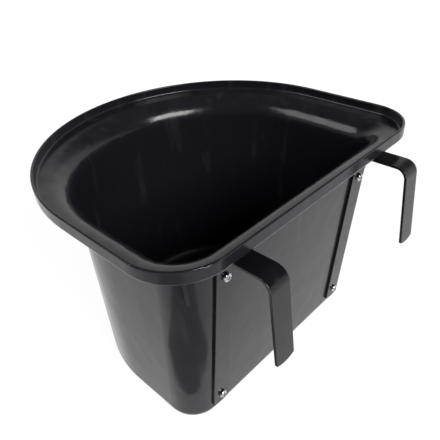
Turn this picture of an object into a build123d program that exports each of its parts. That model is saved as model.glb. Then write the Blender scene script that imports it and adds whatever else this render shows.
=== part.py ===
"""A feed bucket that hangs over a stable door.

A moulded tub with a flat back and a half-round front carries two flat steel hooks on its back.
Each hook is held by two screws, with a washer and a lock nut on each inside the tub.

Millimetres, +Z up. The origin is the middle of the tub's flat underside. +Y points to the flat
back and the hooks, and +X to the right for someone who stands at the round front.
"""

import os
from math import atan2, copysign, cos, pi, radians, sin, sqrt, tan

from build123d import *

# Tub: D-shaped sections, flat at the back and half round at the front
tub_height = 280
base_width = 317
base_depth = 258
base_corner = 36  # radius of the upright back corners at the floor
mouth_corner = 40  # and where they meet the flange
side_flare = 6.5  # how far each wall leans out from the floor to the flange
front_flare = 2
back_flare = 26
wall = 3
floor = 3.5
base_round = 17  # radius round the bottom edge, outside

# Rim: a flange that rises outwards from the mouth to an upturned lip
side_overhang = 35
back_overhang = 29
front_overhang = 40
rim_corner = 57
lip_height = 14.5
flange_rise = 5.5
mouth_roll = 28  # radius of the rolled edge from the flange down into the tub, front and sides
back_roll = 14  # and along the back
roll_steps = 10  # sections through the rolled edge
lip_foot = 2.5  # radius inside the lip, where it stands on the flange
lip_under = 3.5  # radius outside the lip's lower edge
lip_edge = 1.3

# Stacking ribs: a thin fin under the flange at each back corner, so that nested tubs don't jam
rib_wall = 4
rib_drop = 64
rib_reach = 13
rib_root = 10  # how far the fin starts inside the wall line, before the hollow is cut
rib_turn = 42.5  # degrees round the corner from the side wall

# Hooks: flat bar screwed to the back, bent over the door and down again
bar_width = 25
bar = 3  # the bar's thickness
hook_inset = 6.75  # from where the back's corners begin to the middle of each bar
leg_bend = 14  # outside radius of the bend from the arm to the leg
bend_ease = 2  # how much tighter the bar bends under the rim than the hollow that it lies in
arm_gap = 1.6  # room between the arm and the flange above it
door_gap = 55  # between the strap and the leg, at the arm
leg_drop = 96.5
leg_splay = 5  # degrees
strap_foot = 18.5  # height of the strap's lower end
end_bow = 2.6  # how far the bar's rounded ends bow out
bar_edge = 0.5

# Fixings: pan head screws through strap and wall
screw_heights = {"upper": 223.5, "lower": 34.5}
screw_size = 5
screw_length = 16
hole_clearance = 0.3
thread_clearance = 0.1
head_size = 10
head_height = 3.8
head_round = 2.4
recess_length = 5.4
recess_width = 1.2
recess_depth = 1.8
washer_size = 12
washer_thickness = 1
nut_flats = 8
nut_height = 4
collar_size = 7
collar_height = 1.3

# Levels and angles that follow from those sizes
lip_low = tub_height - lip_height
shoulder = lip_low - flange_rise  # where the flange's underside meets the wall
base_back = base_depth / 2
lean = atan2(back_flare, shoulder)  # of the flat back, from upright
wall_inset = wall / cos(lean)
hook_spacing = base_width - 2 * (base_corner + hook_inset)
under_roll = mouth_roll - 2 * wall  # of the hollow outside, under the rolled edge
root_bend = under_roll - bend_ease
roll_low = shoulder + wall - mouth_roll
roll_rise = mouth_roll + flange_rise
roll_levels = [roll_low + roll_rise * sin(pi / 2 * step / roll_steps) for step in range(roll_steps + 1)]
arm_top = shoulder - arm_gap
hole_size = screw_size + 2 * hole_clearance


def d_section(height, half, back, front, corner):
    """A D at one height: a straight back with two rounded corners, and a half circle in front."""
    with BuildSketch(Plane.XY.offset(height)) as section:
        with BuildLine():
            Line((corner - half, back), (half - corner, back))
            CenterArc((half - corner, back - corner), corner, 90, -90)
            Line((half, back - corner), (half, front + half))
            CenterArc((0, front + half), half, 0, -180)
            Line((-half, front + half), (-half, back - corner))
            CenterArc((corner - half, back - corner), corner, 180, -90)
        make_face()
    return section.sketch


def wall_lines(height, inset=0):
    """The wall at a height, moved in by inset: half its width, its back, front and corner radius."""
    up = height / shoulder
    half = base_width / 2 + side_flare * up - inset
    back = base_back + back_flare * up - inset
    front = -base_back - front_flare * up + inset
    corner = base_corner + (mouth_corner - base_corner) * up - inset
    return half, back, front, corner


def rim_lines(inset=0):
    """The same four for the rim's outline, moved in by inset."""
    half = base_width / 2 + side_flare + side_overhang - inset
    back = base_back + back_flare + back_overhang - inset
    front = -base_back - front_flare - front_overhang + inset
    return half, back, front, rim_corner - inset


def rolled_out(height, roll, run):
    """How far the edge inside the mouth has rolled out from the wall at a height, of its whole run."""
    slope = atan2(flange_rise, run)
    corner = shoulder + wall
    start = corner + roll * ((1 - sin(slope)) * tan(slope) - cos(slope))
    if height <= start:
        return 0
    if height < start + roll * cos(slope):
        return roll - sqrt(roll**2 - (height - start) ** 2)
    return (height - corner) / tan(slope)


def mouth_section(height):
    """The hollow's outline at a height in its rolled edge, between the wall and the lip."""
    walls = zip(wall_lines(height, wall_inset), wall_lines(lip_low + wall, wall_inset))
    rolls = (mouth_roll, back_roll, mouth_roll, mouth_roll)
    lines = []
    for (line, top), lip, roll in zip(walls, rim_lines(wall), rolls):
        lines.append(line + copysign(rolled_out(height, roll, abs(lip - top)), lip - top))
    return d_section(height, *lines)


def level(part, height):
    """The edges of a part that lie wholly at one height."""
    return part.edges().filter_by_position(Axis.Z, height - 0.01, height + 0.01)


def back_y(height):
    """Where the flat back's outer face is, at a height."""
    return base_back + back_flare * height / shoulder


def strap_plane(x, height):
    """On a strap's outer face, looking straight out of it, with its y axis up the strap."""
    outward = (0, cos(lean), -sin(lean))
    back = Plane(origin=(x, back_y(height), height), x_dir=(-1, 0, 0), z_dir=outward)
    return back.offset(bar)


def rib_plane(side):
    """Upright plane through a back corner, from its outer face at the shoulder straight out."""
    turn = radians(rib_turn)
    x = base_width / 2 + side_flare + mouth_corner * (cos(turn) - 1)
    y = back_y(shoulder) + mouth_corner * (sin(turn) - 1)
    outward = (side * cos(turn), sin(turn), 0)
    return Plane(origin=(side * x, y, shoulder), x_dir=outward, z_dir=(outward[1], -outward[0], 0))


hook_sides = {"left": -hook_spacing / 2, "right": hook_spacing / 2}
fixings = {
    f"{row}_{side}": strap_plane(x, height)
    for side, x in hook_sides.items()
    for row, height in screw_heights.items()
}

# The space inside the tub, up through the rim
with BuildPart() as hollow:
    loft([d_section(floor, *wall_lines(floor, wall_inset)), mouth_section(roll_levels[0])], ruled=True)
    fillet(level(hollow, floor), base_round - wall)
    loft([mouth_section(height) for height in roll_levels])
    extrude(mouth_section(lip_low + wall), amount=lip_height - wall)
    fillet(level(hollow, lip_low + wall), lip_foot)

with BuildPart() as tub:
    mouth = d_section(shoulder, *wall_lines(shoulder))
    rim = d_section(lip_low, *rim_lines())
    loft([d_section(0, *wall_lines(0)), mouth], ruled=True)
    fillet(level(tub, 0), base_round)
    loft([mouth, rim], ruled=True)
    extrude(rim, amount=lip_height)
    fillet(level(tub, shoulder), under_roll)
    fillet(level(tub, lip_low), lip_under)
    for side in (-1, 1):
        with BuildSketch(rib_plane(side)):
            with BuildLine():
                Polyline(
                    (-rib_root, wall / 2),
                    (rib_reach, wall),
                    (-rib_drop * tan(lean), -rib_drop),
                    (-rib_root, -rib_drop),
                    close=True,
                )
            make_face()
        extrude(amount=rib_wall / 2, both=True)
    add(hollow.part, mode=Mode.SUBTRACT)
    fillet(level(tub, tub_height), lip_edge)
    for fixing in fixings.values():
        with BuildSketch(fixing):
            Circle(hole_size / 2)
        extrude(amount=-screw_length, mode=Mode.SUBTRACT)

# Hooks: one bent flat bar on each side
leg_corner = strap_plane(0, arm_top).origin.Y + door_gap + bar
leg_tip = (leg_corner + leg_drop * tan(radians(leg_splay)), arm_top - leg_drop)


def leg_plane(x):
    """At a leg's tip, looking straight out of its outer face, with its y axis up the leg."""
    splay = radians(leg_splay)
    return Plane(origin=(x, *leg_tip), x_dir=(-1, 0, 0), z_dir=(0, cos(splay), sin(splay)))


def end_waste(end):
    """What is cut away around a bar's bowed end, on a plane at its tip with y up the bar."""
    half = bar_width / 2
    with BuildPart(mode=Mode.PRIVATE) as waste:
        with BuildSketch(end):
            with BuildLine():
                ThreePointArc((-half, end_bow), (0, 0), (half, end_bow))
                Polyline((half, end_bow), (half, -bar), (-half, -bar), (-half, end_bow))
            make_face()
        extrude(amount=2 * bar, both=True)
    return waste.part


pieces = {"tub": tub.part}
for side, x in hook_sides.items():
    with BuildPart() as hook:
        with BuildSketch(Plane.YZ.offset(x - bar_width / 2)):
            with BuildLine():
                FilletPolyline(
                    (back_y(strap_foot), strap_foot),
                    (back_y(arm_top), arm_top),
                    (leg_corner, arm_top),
                    leg_tip,
                    radius=(root_bend, leg_bend),
                )
                offset(amount=bar, side=Side.RIGHT)
            make_face()
        extrude(amount=bar_width)
        add(end_waste(strap_plane(x, strap_foot)), mode=Mode.SUBTRACT)
        add(end_waste(leg_plane(x)), mode=Mode.SUBTRACT)
        fillet(hook.faces().filter_by(Axis.X).edges(), bar_edge)
        for row in screw_heights:
            with BuildSketch(fixings[f"{row}_{side}"]):
                Circle(hole_size / 2)
            extrude(amount=-screw_length, mode=Mode.SUBTRACT)
    pieces[f"hook_{side}"] = hook.part

# Screws, washers and lock nuts, one of each at every fixing
for place, outside in fixings.items():
    inside = outside.offset(-bar - wall)
    nut_seat = inside.offset(-washer_thickness)

    with BuildPart() as screw:
        with BuildSketch(outside):
            Circle(head_size / 2)
        extrude(amount=head_height)
        head_top = screw.faces().sort_by(Axis(outside.origin, outside.z_dir))[-1]
        fillet(head_top.edges(), head_round)
        with BuildSketch(outside.offset(head_height)):
            Rectangle(recess_length, recess_width)
            Rectangle(recess_width, recess_length)
        extrude(amount=-recess_depth, mode=Mode.SUBTRACT)
        with BuildSketch(outside):
            Circle(screw_size / 2)
        extrude(amount=-screw_length)
    pieces[f"screw_{place}"] = screw.part

    with BuildPart() as washer:
        with BuildSketch(inside):
            Circle(washer_size / 2)
            Circle(hole_size / 2, mode=Mode.SUBTRACT)
        extrude(amount=-washer_thickness)
    pieces[f"washer_{place}"] = washer.part

    with BuildPart() as lock_nut:
        with BuildSketch(nut_seat):
            RegularPolygon(nut_flats / 2, 6, major_radius=False)
        extrude(amount=-nut_height)
        with BuildSketch(nut_seat.offset(-nut_height)):
            Circle(collar_size / 2)
        extrude(amount=-collar_height)
        with BuildSketch(outside):
            Circle(screw_size / 2 + thread_clearance)
        extrude(amount=-screw_length, mode=Mode.SUBTRACT)
    pieces[f"lock_nut_{place}"] = lock_nut.part

os.makedirs("parts", exist_ok=True)
for name, piece in pieces.items():
    piece.label = name
    export_step(piece, f"parts/{name}.step")
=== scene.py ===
# A feed bucket that hangs over a stable door: a glossy black moulded tub with two black bar hooks,
# held on by zinc-plated screws, washers and lock nuts. Metres, in the model's own frame.
import math

import bmesh
import bpy
from mathutils import Matrix, Vector


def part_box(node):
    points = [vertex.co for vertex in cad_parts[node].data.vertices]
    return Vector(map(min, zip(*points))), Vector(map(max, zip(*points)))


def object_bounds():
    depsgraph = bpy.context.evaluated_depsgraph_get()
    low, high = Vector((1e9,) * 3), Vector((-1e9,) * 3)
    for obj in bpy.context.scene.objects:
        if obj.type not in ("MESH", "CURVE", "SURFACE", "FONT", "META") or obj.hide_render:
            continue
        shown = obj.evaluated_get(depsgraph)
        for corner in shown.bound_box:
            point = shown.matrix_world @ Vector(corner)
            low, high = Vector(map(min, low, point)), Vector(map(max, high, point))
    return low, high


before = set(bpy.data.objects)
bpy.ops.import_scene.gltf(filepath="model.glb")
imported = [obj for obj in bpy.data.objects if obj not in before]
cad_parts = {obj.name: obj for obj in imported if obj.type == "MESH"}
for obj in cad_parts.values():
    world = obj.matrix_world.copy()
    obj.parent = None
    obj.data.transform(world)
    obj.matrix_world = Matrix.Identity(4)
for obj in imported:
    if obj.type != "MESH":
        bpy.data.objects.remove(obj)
cad_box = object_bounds()
scene = bpy.context.scene
scene.view_settings.view_transform = "Standard"

mm = 0.001
camera_azimuth = 135.64  # degrees round the object, 0 looking along +Y
tub_low, tub_high = (Vector(corner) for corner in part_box("tub"))
gloss_level = 0.28  # specular level of the black plastic and of the powder coat
floor_wear = (22 * mm, 2 * mm)  # heights over which the worn floor fades into the wall


# Helpers for materials

def linear(code):
    """An sRGB hex colour as linear red, green, blue and alpha."""
    parts = [int(code[i:i + 2], 16) / 255 for i in (1, 3, 5)]
    return tuple(c / 12.92 if c <= 0.04045 else ((c + 0.055) / 1.055) ** 2.4 for c in parts) + (1.0,)


def add_node(tree, kind, inputs=None, **settings):
    """A new node with its settings, whose inputs are values or other nodes' outputs."""
    node = tree.nodes.new(kind)
    for name, value in settings.items():
        setattr(node, name, value)
    for socket, value in (inputs or {}).items():
        if isinstance(value, bpy.types.NodeSocket):
            tree.links.new(value, node.inputs[socket])
        else:
            node.inputs[socket].default_value = value
    return node


def new_material(name):
    """An empty material's node tree, its Principled shader and its object coordinates."""
    material = bpy.data.materials.new(name)
    material.use_nodes = True
    tree = material.node_tree
    where = add_node(tree, "ShaderNodeTexCoord").outputs["Object"]
    return material, tree, tree.nodes["Principled BSDF"], where


def noise(tree, where, size, detail=2.0, stretch=(1, 1, 1)):
    """Cloudy noise with features of about one size, drawn out along each axis by stretch."""
    squeeze = [1 / (size * s) for s in stretch]
    placed = add_node(tree, "ShaderNodeMapping", {"Vector": where, "Scale": squeeze})
    cloud = add_node(tree, "ShaderNodeTexNoise",
                     {"Vector": placed.outputs["Vector"], "Scale": 1.0, "Detail": detail})
    return cloud.outputs["Fac"]


def spread(tree, value, low, high, to_low, to_high):
    """A value's stretch from low to high, spread over another range and held at its ends."""
    mapped = add_node(tree, "ShaderNodeMapRange",
                      {"Value": value, "From Min": low, "From Max": high,
                       "To Min": to_low, "To Max": to_high})
    return mapped.outputs["Result"]


def moulded_black_polypropylene():
    """Glossy black plastic as it leaves a polished mould: long soft highlights, a little wavy."""
    material, tree, shader, where = new_material("moulded_black_polypropylene")

    # Dust lies thinly on what faces up, thickest in soft patches, and lighter streaks drawn up and down
    # the walls are painted reflection in the same grey
    facing = add_node(tree, "ShaderNodeNewGeometry").outputs["Normal"]
    up = add_node(tree, "ShaderNodeSeparateXYZ", {"Vector": facing}).outputs["Z"]
    patches = spread(tree, noise(tree, where, 30 * mm, 5), 0.45, 0.75, 0.1, 0.55)
    upward = spread(tree, up, 0.2, 1.0, 0.0, 0.3)
    settled = add_node(tree, "ShaderNodeMath", {0: patches, 1: upward}, operation="MULTIPLY")
    # Painted reflection: lighter vertical streaks on the walls, mixed into the colour
    painted_reflection_streaks = spread(tree, noise(tree, where, 20 * mm, 3, (1, 1, 5)), 0.58, 0.85, 0.0, 0.4)
    dust_and_painted_streaks = add_node(tree, "ShaderNodeMath", {0: settled.outputs[0], 1: painted_reflection_streaks}, operation="ADD")
    colour = add_node(tree, "ShaderNodeMix",
                      {"Factor": dust_and_painted_streaks.outputs[0], 6: linear("#16161a"), 7: linear("#3c3b39")},
                      data_type="RGBA")
    tree.links.new(colour.outputs[2], shader.inputs["Base Color"])

    # Handling and flow leave the gloss uneven, in patches drawn out up the wall
    flow = spread(tree, noise(tree, where, 22 * mm, 3, (1, 1, 4)), 0.3, 0.7, 0.13, 0.24)
    scuffs = spread(tree, noise(tree, where, 4 * mm, 4, (1, 1, 6)), 0.6, 0.8, 0.0, 0.1)
    dulled = add_node(tree, "ShaderNodeMath", {0: flow, 1: scuffs}, operation="ADD")

    # Feed has worn the inside of the floor to a dull satin
    place = add_node(tree, "ShaderNodeSeparateXYZ", {"Vector": where})
    low = spread(tree, place.outputs["Z"], *(tub_low.z + height for height in floor_wear), 0.0, 1.0)
    inward = spread(tree, up, 0.02, 0.2, 0.0, 0.35)
    worn = add_node(tree, "ShaderNodeMath", {0: low, 1: inward}, operation="MULTIPLY")
    rough = add_node(tree, "ShaderNodeMath", {0: dulled.outputs[0], 1: worn.outputs[0]}, operation="ADD")
    tree.links.new(rough.outputs[0], shader.inputs["Roughness"])

    # The wall cools a little wavy, and its skin has a fine orange peel
    waves = add_node(tree, "ShaderNodeBump",
                     {"Height": noise(tree, where, 34 * mm, 1), "Strength": 1.0, "Distance": 0.5 * mm})
    peel = add_node(tree, "ShaderNodeBump",
                    {"Height": noise(tree, where, 1.4 * mm, 1), "Strength": 1.0,
                     "Distance": 0.004 * mm, "Normal": waves.outputs["Normal"]})
    tree.links.new(peel.outputs["Normal"], shader.inputs["Normal"])
    shader.inputs["IOR"].default_value = 1.49
    shader.inputs["Specular IOR Level"].default_value = gloss_level
    return material


def black_powder_coat():
    """Semi-gloss black powder coat on steel bar, worn thin along its edges, which are also painted
    lighter as a highlight.
    """
    material, tree, shader, where = new_material("black_powder_coat")

    # Where the rounded normal leaves the face's own, the coat is worn to a dull grey, partly wear and
    # partly a painted highlight along the bar's edges
    rounded = add_node(tree, "ShaderNodeBevel", {"Radius": 0.7 * mm}, samples=6).outputs["Normal"]
    face = add_node(tree, "ShaderNodeNewGeometry").outputs["True Normal"]
    agreement = add_node(tree, "ShaderNodeVectorMath", {0: rounded, 1: face}, operation="DOT_PRODUCT")
    worn_and_highlit_edge = spread(tree, agreement.outputs["Value"], 0.99, 0.85, 0.0, 1.0)
    patchy = spread(tree, noise(tree, where, 5 * mm, 4), 0.42, 0.62, 0.05, 0.8)
    # Painted highlight and wear together lighten the edges, in patches
    wear_and_painted_edge_highlight = add_node(tree, "ShaderNodeMath", {0: worn_and_highlit_edge, 1: patchy}, operation="MULTIPLY")
    colour = add_node(tree, "ShaderNodeMix",
                      {"Factor": wear_and_painted_edge_highlight.outputs[0], 6: linear("#0e0e10"), 7: linear("#55565a")},
                      data_type="RGBA")
    tree.links.new(colour.outputs[2], shader.inputs["Base Color"])

    # The gloss varies along the bar where hands and the door have polished it
    tree.links.new(spread(tree, noise(tree, where, 12 * mm, 3), 0.35, 0.65, 0.12, 0.3),
                   shader.inputs["Roughness"])
    peel = add_node(tree, "ShaderNodeBump",
                    {"Height": noise(tree, where, 2.6 * mm, 2), "Strength": 1.0, "Distance": 0.06 * mm})
    tree.links.new(peel.outputs["Normal"], shader.inputs["Normal"])
    shader.inputs["Specular IOR Level"].default_value = gloss_level
    return material


def bright_zinc_plate():
    """Zinc-plated steel: small bright glints under a faint cloudy passivation."""
    material, tree, shader, where = new_material("bright_zinc_plate")
    shader.inputs["Metallic"].default_value = 1.0

    # Painted shade darkens the driver recess and round the head, taken from ambient occlusion
    recess_occlusion = add_node(tree, "ShaderNodeAmbientOcclusion", {"Distance": 1.5 * mm}, samples=8)
    unshaded_share = spread(tree, recess_occlusion.outputs["AO"], 0.35, 0.75, 0.0, 1.0)
    # The dark colour mixed in here is painted shade
    colour = add_node(tree, "ShaderNodeMix",
                      {"Factor": unshaded_share, 6: linear("#26231f"), 7: linear("#b8babd")}, data_type="RGBA")
    tree.links.new(colour.outputs[2], shader.inputs["Base Color"])
    cloudy = spread(tree, noise(tree, where, 3 * mm, 3), 0.35, 0.65, 0.14, 0.26)
    tree.links.new(cloudy, shader.inputs["Roughness"])
    return material


finishes = {"tub": moulded_black_polypropylene(), "hook": black_powder_coat()}
zinc = bright_zinc_plate()
for name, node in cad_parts.items():
    node.data.materials.clear()
    node.data.materials.append(finishes.get(name.split("_")[0], zinc))


# Studio: a white table that runs out of sight, white walls under a dim ceiling, a grey board
# and two softboxes
table_radius = 6
table_gap = 0.1 * mm  # under the object
board_lift = 4 * mm  # of the grey board above the table


def stage_piece(name, bm, material_name):
    """A piece of the studio made from a bmesh, and the shader of its plain material."""
    mesh = bpy.data.meshes.new(name)
    bm.to_mesh(mesh)
    bm.free()
    piece = bpy.data.objects.new(name, mesh)
    scene.collection.objects.link(piece)
    material, _, shader, _ = new_material(material_name)
    piece.data.materials.append(material)
    return piece, shader


def white_table():
    """A large pale round table top under the object, lit a little from within."""
    bm = bmesh.new()
    bmesh.ops.create_circle(bm, cap_ends=True, segments=96, radius=table_radius)
    table, shader = stage_piece("table", bm, "white_table")
    table.location.z = cad_box[0][2] - table_gap
    shader.inputs["Base Color"].default_value = linear("#5a5a5a")
    shader.inputs["Roughness"].default_value = 0.7
    shader.inputs["Emission Color"].default_value = linear("#ffffff")
    shader.inputs["Emission Strength"].default_value = 0.93


def studio_room():
    """A white sweep that rises behind the object, and a dim room everywhere above it."""
    world = bpy.data.worlds.new("studio")
    world.use_nodes = True
    scene.world = world
    tree = world.node_tree
    direction = add_node(tree, "ShaderNodeTexCoord").outputs["Generated"]
    turn = math.radians(camera_azimuth)
    sweep = 0.3  # how much higher the white reaches behind the object than in front of it
    slope = (sweep * math.sin(turn), -sweep * math.cos(turn), 1)
    height = add_node(tree, "ShaderNodeVectorMath", {0: direction, 1: slope}, operation="DOT_PRODUCT")
    above = spread(tree, height.outputs["Value"], 0.17, 0.36, 0.0, 1.0)
    colour = add_node(tree, "ShaderNodeMix",
                      {"Factor": above, 6: linear("#ffffff"), 7: linear("#4a4a52")}, data_type="RGBA")
    tree.links.new(colour.outputs[2], tree.nodes["Background"].inputs["Color"])
    tree.nodes["Background"].inputs["Strength"].default_value = 1.0


def grey_flag(azimuth, near, far, width):
    """A grey board on the table below the camera, seen only as a darker reflection in the gloss."""
    bm = bmesh.new()
    bmesh.ops.create_grid(bm, size=0.5)
    flag, shader = stage_piece("grey_flag", bm, "grey_board")
    turn = math.radians(azimuth)
    outward = Vector((math.sin(turn), -math.cos(turn), 0))
    flag.location = outward * (near + far) / 2 + Vector((0, 0, cad_box[0][2] + board_lift))
    flag.rotation_euler.z = math.atan2(outward.y, outward.x)
    flag.scale = (far - near, width, 1)
    flag.visible_camera = flag.visible_diffuse = flag.visible_shadow = False
    shader.inputs["Base Color"].default_value = linear("#a4a4a4")
    shader.inputs["Roughness"].default_value = 0.9


def softbox(name, direction, distance, width, height, power):
    """A soft area light in a direction from the tub's mouth, turned to face it."""
    target = Vector((0, 0, tub_high.z))
    lamp = bpy.data.lights.new(name, "AREA")
    lamp.shape = "RECTANGLE"
    lamp.size = width
    lamp.size_y = height
    lamp.energy = power
    light = bpy.data.objects.new(name, lamp)
    light.location = target + Vector(direction).normalized() * distance
    light.rotation_euler = (target - light.location).to_track_quat("-Z", "Y").to_euler()
    scene.collection.objects.link(light)


def place_camera(aim, distance, azimuth, elevation, roll, lens):
    """A camera that looks at a point from an azimuth and elevation in degrees, rolled about its axis."""
    azimuth, elevation, roll = (math.radians(v) for v in (azimuth, elevation, roll))
    back = Vector((math.sin(azimuth) * math.cos(elevation), -math.cos(azimuth) * math.cos(elevation),
                   math.sin(elevation)))
    level = Vector((math.cos(azimuth), math.sin(azimuth), 0))
    right = level * math.cos(roll) + back.cross(level) * math.sin(roll)
    camera = bpy.data.objects.new("camera", bpy.data.cameras.new("camera"))
    camera.data.lens = lens
    camera.data.clip_start = 0.01
    scene.collection.objects.link(camera)
    turn = Matrix((right, back.cross(right), back)).transposed()
    camera.matrix_world = Matrix.Translation(Vector(aim) + back * distance) @ turn.to_4x4()
    scene.camera = camera


white_table()
studio_room()
grey_flag(camera_azimuth - 10, 0.22, 0.8, 0.23)
softbox("softbox_back", (0.08, 0.85, 0.52), 2.4, 1.35, 0.9, 78)
softbox("softbox_side", (0.71, -0.46, 0.56), 2.4, 1.0, 1.2, 20)
place_camera((-0.0188, 0.0139, 0.1517), 0.648, camera_azimuth, 34.71, -3.90, 39.96)
